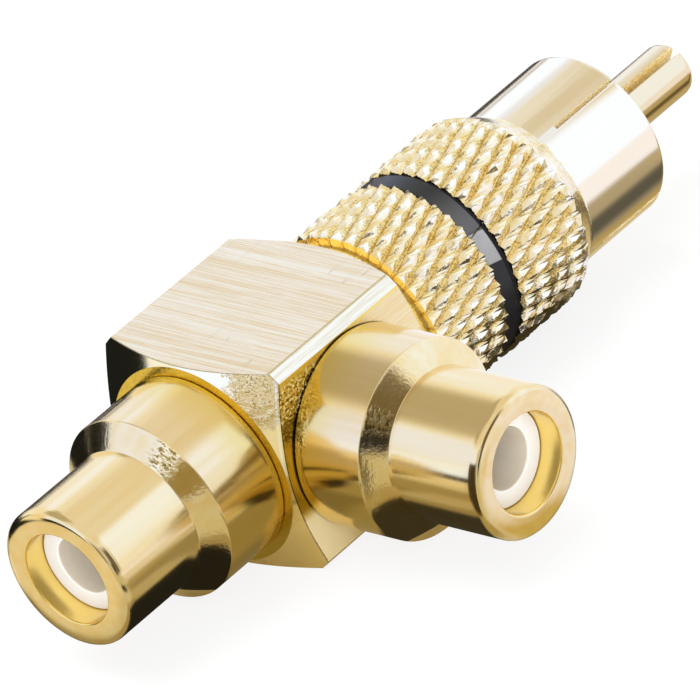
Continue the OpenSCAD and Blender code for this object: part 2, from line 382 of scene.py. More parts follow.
def make_jack_shell(name, place):
    corners = [
        (JACK_REAR_BORE_R, -SPIGOT_LEN, 0), (SPIGOT_R, -SPIGOT_LEN, SPIGOT_ROUND), (SPIGOT_R, 0, 0),
        (JACK_BASE_R, 0, JACK_FOOT_ROUND), (JACK_BASE_R, JACK_BASE_LEN, JACK_BASE_ROUND),
        (JACK_BARREL_R, JACK_BASE_LEN + JACK_CONE_LEN, JACK_NECK_ROUND),
        (JACK_BARREL_R, jack_front, JACK_RIM_ROUND), (JACK_BORE_R, jack_front, JACK_BORE_ROUND),
        (JACK_BORE_R, JACK_STEP, 0), (JACK_REAR_BORE_R, JACK_STEP, 0),
        (JACK_REAR_BORE_R, -SPIGOT_LEN, 0),
    ]
    return smooth(turned(name, corners, place))


def make_jack_bush(name, place):
    front = jack_front - JACK_RECESS
    contact_front = front - CONTACT_SETBACK
    seat = BUSH_REAR + CONTACT_FLANGE_LEN
    outer_r = JACK_BORE_R - FIT_GAP
    rear_r = JACK_REAR_BORE_R - FIT_GAP
    inner_r = CONTACT_R + FIT_GAP
    flange_r = CONTACT_FLANGE_R + FIT_GAP
    corners = [
        (flange_r, BUSH_REAR, 0), (rear_r, BUSH_REAR, 0), (rear_r, JACK_STEP, 0),
        (outer_r, JACK_STEP, 0), (outer_r, front, BUSH_ROUND), (JACK_HOLE_R, front, JACK_HOLE_ROUND),
        (JACK_HOLE_R, contact_front, 0), (inner_r, contact_front, 0), (inner_r, seat, 0),
        (flange_r, seat, 0), (flange_r, BUSH_REAR, 0),
    ]
    return smooth(turned(name, corners, place))


# Knurled grip

def raise_saddles(rod, floor_r):
    """The grooves that climb one way about the axis, drawn outwards between the crossings."""
    def climbs(a, b):
        on_floor = max(a.xy.length, b.xy.length) < (floor_r + 2 * KNURL_WAVER) * MM
        return on_floor and a.xy.cross(b.xy) * (b.z - a.z) > KNURL_CLIMB * MM ** 3

    crossings = len(rod.data.vertices)
    edit_edges(rod, climbs)
    bpy.ops.mesh.subdivide(number_cuts=1)
    edit("DESELECT")
    leave_edit()
    for vertex in rod.data.vertices:
        vertex.select = vertex.index >= crossings
    bpy.ops.object.mode_set(mode="EDIT")
    grow = 1 + KNURL_SADDLE / floor_r
    bpy.ops.transform.resize(value=(grow, grow, 1), center_override=(0, 0, 0))
    select_all()
    bpy.ops.mesh.quads_convert_to_tris()
    leave_edit()


def make_knurled_rod():
    """A ring of points drawn out along the axis, its squares turned into diamonds, and each drawn up."""
    floor_r = grip_r - KNURL_DEPTH
    rows = math.ceil(grip_len / KNURL_PERIOD) + 1
    low = -KNURL_PERIOD / 2 * MM
    high = low + rows * KNURL_PERIOD * MM

    def bounds_square(a, b):
        rise = abs(a.z - b.z) / (KNURL_PERIOD * MM)
        at_end = max(a.z, b.z) < low + MERGE or min(a.z, b.z) > high - MERGE
        return (rise < 0.1 or rise > 0.9) and not at_end

    rod = added("grip_sleeve", bpy.ops.mesh.primitive_circle_add, vertices=KNURL_COUNT,
                radius=floor_r * MM, location=(0, 0, low))
    settle(rod)
    edit()
    step = {"value": (0, 0, KNURL_PERIOD * MM)}
    for _ in range(rows):
        bpy.ops.mesh.extrude_region_move(TRANSFORM_OT_translate=step)
    select_all()
    bpy.ops.mesh.poke()
    edit_edges(rod, bounds_square)
    bpy.ops.mesh.dissolve_edges(use_verts=False)
    edit(by="FACE")
    bpy.ops.mesh.normals_make_consistent(inside=False)
    for inset, rise in KNURL_STEPS:
        bpy.ops.mesh.inset(thickness=inset * MM, depth=rise * MM, use_individual=True)
    select_all()
    bpy.ops.mesh.fill_holes(sides=0)
    select_all()
    bpy.ops.mesh.normals_make_consistent(inside=False)
    select_all()
    bpy.ops.transform.vertex_random(offset=KNURL_WAVER * MM, normal=0.5, seed=5)
    leave_edit()
    raise_saddles(rod, floor_r)
    return rod


def make_grip():
    rod = settle(make_knurled_rod(), towards_plug(grip_low.y))
    band_from, band_to = REAR_KNURL_LEN, REAR_KNURL_LEN + BAND_W
    envelope = [
        (GRIP_BORE_R, 0, 0), (grip_r - GRIP_CHAMFER_R, 0, 0), (grip_r, GRIP_CHAMFER_LEN, 0),
        (grip_r, band_from, 0), (GROOVE_FLOOR_R, band_from, 0), (GROOVE_FLOOR_R, band_to, 0),
        (grip_r, band_to, 0), (grip_r, KNURL_LEN, 0), (GRIP_LIP_R, grip_len - GRIP_LIP_LEN, 0),
        (GRIP_LIP_R, grip_len, 0), (GRIP_BORE_R, grip_len, 0), (GRIP_BORE_R, 0, 0),
    ]
    carve(rod, turned("envelope", envelope, towards_plug(grip_low.y)), "INTERSECT")
    return smooth(rod, angle=25)


def make_band():
    inner_r = GROOVE_FLOOR_R + FIT_GAP
    rear, front = FIT_GAP, BAND_W - FIT_GAP
    corners = [
        (inner_r, rear, 0), (BAND_R, rear, BAND_ROUND), (BAND_R, front, BAND_ROUND),
        (inner_r, front, 0), (inner_r, rear, 0),
    ]
    place = towards_plug(grip_low.y + REAR_KNURL_LEN)
    band = turned("band_ring", corners, place)
    turn = Matrix.Rotation(-BAND_CUT_ANGLE, 4, "Z")
    out = Matrix.Translation((BAND_R * MM, 0, BAND_W / 2 * MM))
    slant = out @ Matrix.Rotation(BAND_CUT_SLANT, 4, "X")
    carve(band, bar("cut", (BAND_SAW_LEN, BAND_CUT_W, 2 * BAND_W), place @ turn @ slant))
    soften(band, BAND_CUT_ROUND)
    return smooth(band)


# Plug

def slots(piece, place, angles, size):
    """Saws a slot of the given size across the piece at each angle about its axis."""
    up = Matrix.Translation((0, 0, size[2] / 2 * MM))
    for angle in angles:
        carve(piece, bar("saw", size, place @ Matrix.Rotation(-angle, 4, "Z") @ up))


def make_shell():
    seat = grip_low.y - block_high.y
    mouth = -block_high.y
    floor = mouth - PLUG_RECESS - BUSH_LEN
    corners = [
        (SHELL_REAR_BORE_R, -SPIGOT_LEN, 0), (SPIGOT_R, -SPIGOT_LEN, SPIGOT_ROUND), (SPIGOT_R, 0, 0),
        (COLLAR_R, 0, COLLAR_ROUND), (COLLAR_R, seat, 0), (SHELL_R, seat, 0),
        (SHELL_R, mouth, SHELL_ROUND), (SHELL_BORE_R, mouth, SHELL_BORE_ROUND),
        (SHELL_BORE_R, floor, 0), (SHELL_REAR_BORE_R, floor, 0), (SHELL_REAR_BORE_R, -SPIGOT_LEN, 0),
    ]
    shell = turned("slotted_shell", corners, towards_plug(block_high.y))
    size = (3 * SHELL_R, SHELL_SLOT_W, 2 * SHELL_SLOT_LEN)
    angles = (SHELL_SLOT_ANGLE, SHELL_SLOT_ANGLE + math.pi / 2)
    slots(shell, towards_plug(-SHELL_SLOT_LEN), angles, size)
    soften(shell, SHELL_SLOT_ROUND)
    return smooth(shell)


def make_pin():
    start, tip = pin_low.y, pin_high.y
    link_r = rod_r + FIT_GAP
    flange, root = PIN_FLANGE_Y - start, -PLUG_RECESS - start
    corners = [
        (0, PIN_TAIL_BORE, 0), (link_r, PIN_TAIL_BORE, 0), (link_r, 0, 0),
        (PIN_TAIL_R, 0, PIN_TAIL_ROUND), (PIN_TAIL_R, PIN_TAIL_LEN, 0),
        (PIN_FLANGE_R, PIN_TAIL_LEN, 0), (PIN_FLANGE_R, flange, 0), (PIN_ROOT_R, flange, 0),
        (PIN_ROOT_R, root, 0), (PIN_R, root, 0), (PIN_R, tip - start, PIN_TIP_ROUND),
        (0, tip - start, 0),
    ]
    pin = turned("split_pin", corners, towards_plug(start), steps=PIN_STEPS)
    size = (3 * PIN_R, PIN_SLOT_W, 2 * PIN_SLOT_LEN)
    slots(pin, towards_plug(tip - PIN_SLOT_LEN), (PIN_SLOT_ANGLE,), size)
    soften(pin, PIN_SLOT_ROUND)
    return smooth(pin)


# Shader sums

class Value:
    """A socket's value, on which sums are written as Python sums."""

    def __init__(self, tree, socket):
        self.tree = tree
        self.socket = socket

    def math(self, operation, *others):
        numbers = dict(enumerate((self, *others)))
        return self.tree.add("ShaderNodeMath", numbers, operation=operation)

    def __add__(self, other):
        return self.math("ADD", other)

    def __sub__(self, other):
        return self.math("SUBTRACT", other)

    def __mul__(self, other):
        return self.math("MULTIPLY", other)

    def __rsub__(self, other):
        return self.tree.add("ShaderNodeMath", {0: other, 1: self}, operation="SUBTRACT")

    def __truediv__(self, other):
        return self.math("DIVIDE", other)

    def __abs__(self):
        return self.math("ABSOLUTE")

    __radd__ = __add__
    __rmul__ = __mul__

    def swing(self, size):
        """A pattern's rise and fall about its middle level, to that size in all."""
        return size * (self - 0.5)


def opaque(colour):
    """A colour with its alpha, or another node's colour as it is."""
    return colour if isinstance(colour, Value) else (*colour, 1)


class Tree:
    """A node tree that is filled by one method."""

    def __init__(self, owner):
        self.owner = owner
        owner.use_nodes = True
        self.tree = owner.node_tree
        self.tree.nodes.clear()

    def add(self, kind, sockets=(), out=0, **settings):
        made = self.tree.nodes.new(kind)
        for name, value in settings.items():
            setattr(made, name, value)
        for name, value in dict(sockets).items():
            if isinstance(value, Value):
                self.tree.links.new(value.socket, made.inputs[name])
            else:
                made.inputs[name].default_value = value
        return Value(self, made.outputs[out]) if made.outputs else None

    def place(self, scale=(1, 1, 1), shift=(0, 0, 0)):
        """The piece's own coordinates in millimetres, times the scale."""
        own = self.add("ShaderNodeTexCoord", out="Object")
        size = [s / MM for s in scale]
        return self.add("ShaderNodeMapping", {"Vector": own, "Scale": size, "Location": shift})

    def noise(self, scale, detail=3.0, roughness=0.5, shift=(0, 0, 0)):
        """A cloudy pattern from 0 to 1, with that many cells in a millimetre along each axis."""
        return self.add("ShaderNodeTexNoise", {
            "Vector": self.place(scale, shift), "Scale": 1.0, "Detail": detail, "Roughness": roughness})

    def ramp(self, value, low, high):
        """A smooth rise from 0 to 1 between two values, the first of which may be the higher."""
        ends = {"Value": value, "From Min": low, "From Max": high}
        return self.add("ShaderNodeMapRange", ends, interpolation_type="SMOOTHSTEP")

    def within(self, value, half, edge):
        """1 where a value is less than half away from zero, with a soft edge."""
        return self.ramp(abs(value), half + edge / 2, half - edge / 2)

    def length(self, a, b):
        return (a * a + b * b).math("SQRT")

    def angle(self, up, across):
        """Where a point lies round an axis, in degrees from the level."""
        return up.math("ARCTAN2", across) * DEGREES

    def blend(self, factor, a, b):
        ends = {0: factor, 6: opaque(a), 7: opaque(b)}
        return self.add("ShaderNodeMix", ends, out=2, data_type="RGBA")

    def bump(self, height, distance=1.0):
        return self.add("ShaderNodeBump", {"Height": height, "Distance": distance * MM, "Strength": 1.0})

    def axes(self, vector):
        """The three parts of a vector."""
        parts = self.add("ShaderNodeSeparateXYZ", {0: vector})
        return [Value(self, out) for out in parts.socket.node.outputs]

    def facing(self):
        """The three parts of the flat face's own direction."""
        return self.axes(self.add("ShaderNodeNewGeometry", out="True Normal"))

    def ray(self, kind):
        """1 for a ray of the kind Camera, Glossy or Transmission."""
        return self.add("ShaderNodeLightPath", out=f"Is {kind} Ray")

    def glow(self, colour):
        return self.add("ShaderNodeEmission", {"Color": opaque(colour), "Strength": 1.0})

    def cover(self, shader):
        """Gives the material that surface, and returns the material."""
        self.add("ShaderNodeOutputMaterial", {"Surface": shader})
        return self.owner

    def surface(self, **sockets):
        named = {name.replace("_", " "): value for name, value in sockets.items()}
        return self.cover(self.add("ShaderNodeBsdfPrincipled", named))


def new_tree(name):
    """The empty tree of a new material."""
    return Tree(bpy.data.materials.new(name))


# Colours. Where a name holds two, a pattern blends from the first to the second.

PALE_GOLD = (0.93, 0.78, 0.47)
GOLD = (0.91, 0.72, 0.37)
DEEP_GOLD = (0.86, 0.66, 0.24)
RAW_GOLD = (0.95, 0.72, 0.16)
OLIVE = (0.34, 0.26, 0.09)
SOOT = (0.03, 0.022, 0.01)
WHITE = (1, 1, 1)

PALER_BASE = (0.87, 0.68, 0.36), (0.91, 0.75, 0.47)
BORE_YELLOW = (1.0, 0.76, 0.24)
CHATTER_PAINTED_GLINT = (1.0, 0.94, 0.70)
CHATTER_PAINTED_SHADE = (0.30, 0.20, 0.04)
FOOT_FLECKS = (0.44, 0.28, 0.03), (0.98, 0.76, 0.20)

SHELL_PLATE = (0.985, 0.895, 0.68), (0.99, 0.91, 0.72)
SHELL_SHADE = (0.80, 0.68, 0.46), (0.86, 0.76, 0.56)
PIN_PLATE = (0.90, 0.76, 0.49)
SAWN_METAL = (0.78, 0.58, 0.20), (1.0, 0.91, 0.58)
COLLAR_REFLECTION = (0.86, 0.56, 0.08), (1.0, 0.82, 0.28)
COLLAR_SEAM = (0.30, 0.17, 0.01)

BRUSHED_TOP = (0.84, 0.65, 0.36), (0.995, 0.945, 0.80)
BRUSHED_SIDE = (0.86, 0.66, 0.33), (0.93, 0.77, 0.48)
BEVEL_PLATE = (0.85, 0.73, 0.48), (0.95, 0.87, 0.66)
BEVEL_LINE = (0.60, 0.48, 0.18)
FLECKS_TO_PAINTED_GLINT = (0.93, 0.67, 0.12), (1.0, 0.92, 0.50)
DULL_FLECKS = (0.40, 0.29, 0.06), (0.80, 0.60, 0.20)
FLECK_PIT = (0.16, 0.09, 0.004)
MATT_METAL = (0.95, 0.78, 0.42), (1.0, 0.89, 0.57)
CONE_SHADED_PLATE = (0.90, 0.67, 0.24), (0.97, 0.88, 0.62)
BEATEN_PLATE = (0.93, 0.74, 0.34)
BEATEN_PIT = (0.40, 0.25, 0.04)
CREST_PAINTED_GLINT = (1.0, 0.95, 0.74)
LIT_EDGE = (1.0, 0.97, 0.86)
END_RING_REFLECTION = (0.86, 0.60, 0.08), (1.0, 0.76, 0.18)

KNURL_PLATE = (0.97, 0.86, 0.55), (0.995, 0.96, 0.84)
KNURL_DEEP_SHADE = (0.93, 0.72, 0.28)
GROOVE_SHADE = (0.84, 0.56, 0.12), (0.97, 0.77, 0.32)
CROSS_SHADE = (0.88, 0.64, 0.20)
FRINGE_SHADE = (0.50, 0.29, 0.04)
KNURL_SHADE_SPOT = (0.35, 0.22, 0.05)

BAND_PLASTIC = (0.010, 0.010, 0.011), (0.020, 0.020, 0.021)
BAND_SHEEN = (0.13, 0.13, 0.135)
BAND_REFLECTION = (0.22, 0.22, 0.225), (0.36, 0.36, 0.365)
BAND_LIP_SHADOW = (0.006, 0.006, 0.007)

WHITE_PLASTIC = (0.86, 0.86, 0.85), (0.92, 0.92, 0.91)
IVORY_PLASTIC = (0.70, 0.68, 0.62), (0.80, 0.78, 0.72)
BUSH_PLASTIC = (0.90, 0.90, 0.90), (0.95, 0.95, 0.95)
BUSH_HOLE_SHADE = (0.80, 0.75, 0.66), (0.86, 0.81, 0.72)
TINNED_LEAD = (0.6, 0.58, 0.55), (0.75, 0.73, 0.7)
SOLDER = (0.5, 0.5, 0.52), (0.68, 0.69, 0.7)


# Finishes. Pairs of places are where a mask starts and ends, in millimetres or in a pattern's level.

# The heights of the fine marks and of the soft streaks that turning left
MARK_HEIGHT = 0.0012
STREAK_HEIGHT = 0.006
STREAK_TONE = (0.36, 0.64)

# Jack: outwards from the block and up from the axis, where the base turns from deep gold to paler
PALER_OUT, PALER_UP = (0.2, 3.6), (-1.5, 3)
RAW_FOOT = (0.42, 0.34)
FLECKS_FADE = (0.9, 0.5)
FLECKS_EDGE = 0.7
# How the ring of a jack's mouth falls away outside a radius, in millimetres for each square millimetre
CROWN_FROM = 3.15
CROWN = 0.2

# Plug: the stretch of the shell painted darker as shade, in degrees round the axis
SHADE_MIDDLE, SHADE_HALF = 71, 19

# Block: how squarely a face looks along an axis to be a flat, the cone or the end's ring
FLAT, CONE, RING = (0.93, 0.99), (0.3, 0.5), (0.94, 0.98)
# Forwards from the rear end, and from the middle across, where the side is left raw
FRONT_FROM, FRONT_TO = 6, 2.5
FRONT_ACROSS = (0, 1)
# Up the raw side: the middle and half width of the flecks with painted glints and of the dull flecks, and
# the matt foot
GLINT_BAND_MIDDLE, GLINT_BAND_HALF = 4.2, 0.95
DULL_MIDDLE, DULL_HALF = 2.7, 0.6
MATT_FOOT = (-1.8, -2.8)
# The end's beaten corner, across and up, and the cone's lower part, dimmed with less metal as painted
# shade, and its change of colour, a painted shade that pales upwards
CORNER_ACROSS, CORNER_UP = (3.0, 4.2), (3.2, 4.6)
LOW_CONE_SHADE = (0, -3)
CONE_SHADE_RISE = (-2.5, 3.5)
# The levels of the speck pattern that stand up and that sink in
SPECK, PIT = (0.53, 0.60), (0.47, 0.40)

# Band: the painted reflection beside the cut, in degrees back from it, and the two ends of the painted
# sheen that leads up to it
REFLECTION_BACK, REFLECTION_HALF = 10, 9.5
SHEEN_FADE, SHEEN_START = (75, 42), (38, 40)


def stretched(along, fine, coarse):
    """A pattern's scale: one value along an axis and another across it."""
    return [fine if axis == along else coarse for axis in range(3)]


def turning(tree, along):
    """What turning leaves: marks round the axis, streaks along it, and the height of both."""
    marks = tree.noise(stretched(along, 22, 0.25), detail=4)
    streaks = tree.noise(stretched(along, 0.05, 1.1), shift=(3, 5, 7))
    return marks, streaks, MARK_HEIGHT * marks + STREAK_HEIGHT * streaks


def jack_gold(name, along, face, outwards, middle, chatter, joint, flecked):
    """Polished plate on a turned jack: barrel, cone, deeper coloured base with a raw foot, deeper yellow
    bore.

    The tool chattered on the cone over the [middle, half] angles, and marks run round the axis; its
    bright and dark ticks are painted highlight and painted shade. The joint with the block is a dark
    line of the [width, strength]. Raw flecks reach up the foot round the [across, up, radius] place.
    The mouth's ring is a little crowned towards its rim."""
    chatter_middle, chatter_half = chatter
    joint_w, joint_strength = joint
    fleck_across, fleck_up, fleck_r = flecked
    tree = new_tree(name)
    place = tree.axes(tree.place())
    out = outwards * (place[along] - face)
    across, up = place[1 - along] - middle, place[Z]
    radius = tree.length(across, up)
    marks, streaks, height = turning(tree, along)
    rings = tree.noise(stretched(along, 7, 0.3), roughness=0.7, shift=(2, 4, 1))
    grain = tree.noise((6, 6, 6), roughness=0.7, shift=(4, 1, 8))
    ticks = tree.noise(stretched(along, 11, 3.2), roughness=0.6, shift=(1, 2, 8))
    flakes = tree.noise((5, 5, 5), roughness=0.7, shift=(6, 2, 3))
    ridges = tree.noise(stretched(along, 0.8, 6), detail=2, shift=(7, 7, 2))

    cone_from, cone_to = JACK_BASE_LEN, JACK_BASE_LEN + JACK_CONE_LEN
    cone = tree.ramp(out, cone_from, cone_from + 0.08) * tree.ramp(out, cone_to, cone_to - 0.08)
    struck = tree.within(tree.angle(up, across) + ticks.swing(12) - chatter_middle, chatter_half, 8) * cone
    to_flecks = tree.length(across - fleck_across, up - fleck_up)
    flaky = tree.ramp(to_flecks, fleck_r, fleck_r - FLECKS_EDGE)
    flaky = flaky * tree.ramp(out + flakes.swing(0.5), *FLECKS_FADE)
    bore = tree.ramp(radius, JACK_BORE_R + 0.12, JACK_BORE_R + 0.04)
    foot = tree.ramp(out, *RAW_FOOT) * tree.ramp(grain + 0.25 * streaks, 0.45, 0.65)
    line = tree.ramp(out + grain.swing(0.05), joint_w + 0.02, joint_w - 0.02)
    crown = radius.math("MAXIMUM", CROWN_FROM).math("MINIMUM", JACK_BARREL_R) - CROWN_FROM

    tone = tree.ramp(streaks, *STREAK_TONE)
    # The base is deeper gold near the block and low down, and paler further out and higher up
    paler_up_and_out = tree.ramp(out, *PALER_OUT) * tree.ramp(up, *PALER_UP)
    base = tree.blend(paler_up_and_out, DEEP_GOLD, tree.blend(tone, *PALER_BASE))
    barrel = tree.blend(tone, GOLD, PALE_GOLD)
    colour = tree.blend(tree.ramp(out, cone_from - 0.05, cone_from + 0.05), base, barrel)
    # Painted highlight and painted shade: bright and dark ticks on the chatter marks
    colour = tree.blend(struck * tree.ramp(ticks, 0.52, 0.60), colour, CHATTER_PAINTED_GLINT)
    colour = tree.blend(struck * tree.ramp(ticks, 0.49, 0.42), colour, CHATTER_PAINTED_SHADE)
    colour = tree.blend(bore, colour, BORE_YELLOW)
    colour = tree.blend(0.8 * foot, colour, RAW_GOLD)
    colour = tree.blend(flaky, colour, tree.blend(tree.ramp(flakes, 0.44, 0.54), *FOOT_FLECKS))
    colour = tree.blend(joint_strength * line, colour, SOOT)

    height = height + 0.0016 * rings * (1 + cone) + 0.008 * cone * ridges
    height = height + 0.02 * struck * ticks + 0.05 * flaky * flakes + 0.02 * foot * grain
    height = height - CROWN * crown * crown
    rough = 0.14 + marks.swing(0.06) + rings.swing(0.08) + 0.12 * foot + 0.1 * bore
    return tree.surface(Base_Color=colour, Metallic=1.0, Roughness=rough, Normal=tree.bump(height))


def plug_gold(name):
    """Pale polished plate on the slotted shell and the pin, raw in the sawn slots and on the collar, with
    a painted reflection on the collar and a band of painted shade.
    """
    tree = new_tree(name)
    x, y, z = tree.axes(tree.place())
    nx, ny, nz = tree.facing()
    radius = tree.length(x, z)
    marks, streaks, height = turning(tree, Y)
    grain = tree.noise((7, 3, 7), roughness=0.7, shift=(4, 1, 8))

    faces_out = abs(nx * x + nz * z) / radius
    sawn = tree.ramp(faces_out, 0.7, 0.5) * tree.ramp(abs(ny), 0.6, 0.3)
    collar = tree.ramp(y, grip_low.y + 0.03, grip_low.y - 0.03)
    seam = collar * tree.ramp(y + grain.swing(0.5), grip_low.y - 0.22, grip_low.y - 0.10)
    shade = tree.within(tree.angle(z, x) - SHADE_MIDDLE, SHADE_HALF, 8) * (1 - collar)
    pin = tree.ramp(radius, SHELL_BORE_R, PIN_ROOT_R)

    tone = tree.ramp(streaks, *STREAK_TONE)
    colour = tree.blend(tone, *SHELL_PLATE)
    colour = tree.blend(pin, colour, PIN_PLATE)
    colour = tree.blend(shade, colour, tree.blend(tone, *SHELL_SHADE))
    colour = tree.blend(sawn, colour, tree.blend(tree.ramp(grain, 0.42, 0.58), *SAWN_METAL))
    # Painted reflection: the collar's deep orange gold stands for the gold round it, seen in its shaded
    # neck
    colour = tree.blend(collar, colour, tree.blend(grain, *COLLAR_REFLECTION))
    colour = tree.blend(0.8 * seam, colour, COLLAR_SEAM)
    rough = 0.13 + marks.swing(0.06) + 0.25 * sawn + 0.5 * collar
    height = height + 0.02 * (sawn + collar) * grain
    metal = 1 - 0.85 * sawn - 0.75 * collar
    return tree.surface(Base_Color=colour, Metallic=metal, Roughness=rough, Normal=tree.bump(height))


def brushed_top(tree):
    """The top's brushing and a few long strokes: its colour, height and roughness."""
    grain = tree.noise((0.12, 14, 0.12), detail=5, roughness=0.8)
    bands = tree.noise((0.09, 1.6, 0.09), detail=2, shift=(9, 2, 4))
    strokes = tree.within(tree.noise((1.0, 0.05, 1.0), detail=1, shift=(1, 8, 3)) - 0.5, 0.004, 0.005)
    strokes = strokes * tree.ramp(tree.noise((0.5, 0.2, 0.5), detail=1, shift=(5, 5, 1)), 0.45, 0.55)
    colour = tree.blend(tree.ramp(grain + bands.swing(0.12), 0.38, 0.60), *BRUSHED_TOP)
    colour = tree.blend(0.3 * strokes, colour, OLIVE)
    return colour, grain + 0.35 * bands - 0.2 * strokes, 0.28 + grain.swing(0.2)


def brushed_side(tree):
    """The brushing of the sides: its colour, height and roughness."""
    grain = tree.noise((0.2, 0.2, 7), detail=5, roughness=0.7, shift=(2, 6, 1))
    colour = tree.blend(tree.ramp(grain, 0.35, 0.65), *BRUSHED_SIDE)
    return colour, grain, 0.2 + grain.swing(0.16)


def raw_side(tree, raw_glint_band, dull, speck, pit):
    """The side's raw end: flecks with painted glints above dull ones, with pits in both."""
    # Painted highlight: bright yellow glints on the raised specks of the raw band
    colour = tree.blend(0.9 * raw_glint_band * speck, *FLECKS_TO_PAINTED_GLINT)
    colour = tree.blend(dull, colour, tree.blend(speck, *DULL_FLECKS))
    return tree.blend(0.9 * pit * (raw_glint_band + 0.7 * dull).math("MINIMUM", 1), colour, FLECK_PIT)


def turned_cone(tree, z, corner, dents, speck, pit):
    """The end's cone, with painted shade low down that pales towards its top, and pits and crests in
    clusters on the beaten corner, the crests painted as glints.
    """
    cluster = corner * tree.ramp(dents, 0.44, 0.56)
    # Painted shade: the cone is deeper gold low down and pale towards its top
    colour = tree.blend(tree.ramp(z, *CONE_SHADE_RISE), *CONE_SHADED_PLATE)
    colour = tree.blend(0.6 * corner, colour, BEATEN_PLATE)
    colour = tree.blend(0.9 * cluster * pit, colour, BEATEN_PIT)
    # Painted highlight: the crests of the beaten corner are painted as glints
    return tree.blend(0.8 * cluster * speck, colour, CREST_PAINTED_GLINT)


def block_gold(name):
    """Plate over the bar: brushed flats, bright bevels, and turned ends with one beaten corner."""
    tree = new_tree(name)
    x, y, z = tree.axes(tree.place())
    nx, ny, nz = (abs(part) for part in tree.facing())
    flat_top, flat_side = tree.ramp(nz, *FLAT), tree.ramp(nx, *FLAT)
    end, ring = tree.ramp(ny, *CONE), tree.ramp(ny, *RING)
    cone = end * (1 - ring)
    drawn = tree.noise((6, 0.3, 6), shift=(3, 3, 7))
    dents = tree.noise((2.2, 2.2, 2.2), detail=4, roughness=0.65, shift=(1, 8, 3))
    specks = tree.noise((6.5, 5, 6.5), roughness=0.7, shift=(8, 3, 1))
    speck, pit = tree.ramp(specks, *SPECK), tree.ramp(specks, *PIT)

    front = tree.ramp(y, block_low.y + FRONT_FROM, block_low.y + FRONT_TO) * flat_side
    front = front * tree.ramp(x, *FRONT_ACROSS)
    raw_glint_band = tree.within(z - GLINT_BAND_MIDDLE + dents.swing(0.8), GLINT_BAND_HALF, 0.4)
    dull = tree.within(z - DULL_MIDDLE + dents.swing(0.8), DULL_HALF, 0.5)
    matt = tree.ramp(z, *MATT_FOOT) * front
    corner = tree.ramp(x + dents.swing(3), *CORNER_ACROSS)
    corner = corner * tree.ramp(z + dents.swing(2), *CORNER_UP)
    beaten = front * raw_glint_band + cone * corner

    # Thin lines along the edges of the faces
    flat_edge = bar_w / 2 - EDGE_BEVEL
    top_line = tree.within(x - (flat_edge - 0.12) + specks.swing(0.1), 0.09, 0.06) * flat_top
    side_line = tree.within(z - (flat_edge - 0.08) + specks.swing(0.1), 0.08, 0.05) * flat_side
    to_cone = y - block_low.y - (tree.length(x, z) - END_FLAT_R) * math.tan(END_SLOPE)
    cone_line = tree.ramp(to_cone + specks.swing(0.12), 0.09, 0.05) * (1 - end)
    lit_edge = tree.within(x - (bar_w / 2 - 0.14), 0.07, 0.06) * end
    lit_edge = lit_edge * tree.ramp(z + specks.swing(3), -0.4, 0.4)

    top, top_height, top_rough = brushed_top(tree)
    side, side_height, side_rough = brushed_side(tree)
    raw = raw_side(tree, raw_glint_band, dull, speck, pit)
    raw = tree.blend(matt, raw, tree.blend(specks, *MATT_METAL))
    side = tree.blend(front, side, raw)
    cone_colour = tree.blend(lit_edge, turned_cone(tree, z, corner, dents, speck, pit), LIT_EDGE)
    colour = tree.blend(tree.ramp(drawn, 0.35, 0.6), *BEVEL_PLATE)
    colour = tree.blend(flat_top, colour, top)
    colour = tree.blend(flat_side, colour, side)
    colour = tree.blend(0.8 * top_line, colour, BEVEL_LINE)
    colour = tree.blend(0.8 * side_line, colour, RAW_GOLD)
    colour = tree.blend(0.85 * cone_line, colour, tree.blend(flat_side, OLIVE, SOOT))
    colour = tree.blend(end, colour, cone_colour)
    # Painted reflection: the end's ring is deep orange gold where it mirrors the jack beside it
    colour = tree.blend(ring, colour, tree.blend(dents, *END_RING_REFLECTION))

    height = 0.006 * flat_top * top_height + 0.005 * flat_side * side_height
    height = height + 0.045 * beaten * specks + 0.07 * beaten * dents + 0.03 * ring * dents
    brush_rough = flat_top * top_rough + flat_side * side_rough
    rough = 0.1 + brush_rough + 0.08 * beaten * specks + 0.1 * ring + 0.2 * matt
    # Painted shade: less metal on the lower cone makes it look dimmer
    low_cone_shade = cone * tree.ramp(z, *LOW_CONE_SHADE)
    # Painted highlight: the glinting specks lose metal so that they stay bright
    metal = 1 - 0.65 * matt - 0.3 * low_cone_shade - 0.6 * front * raw_glint_band * speck
    return tree.surface(Base_Color=colour, Metallic=metal, Roughness=rough, Normal=tree.bump(height))


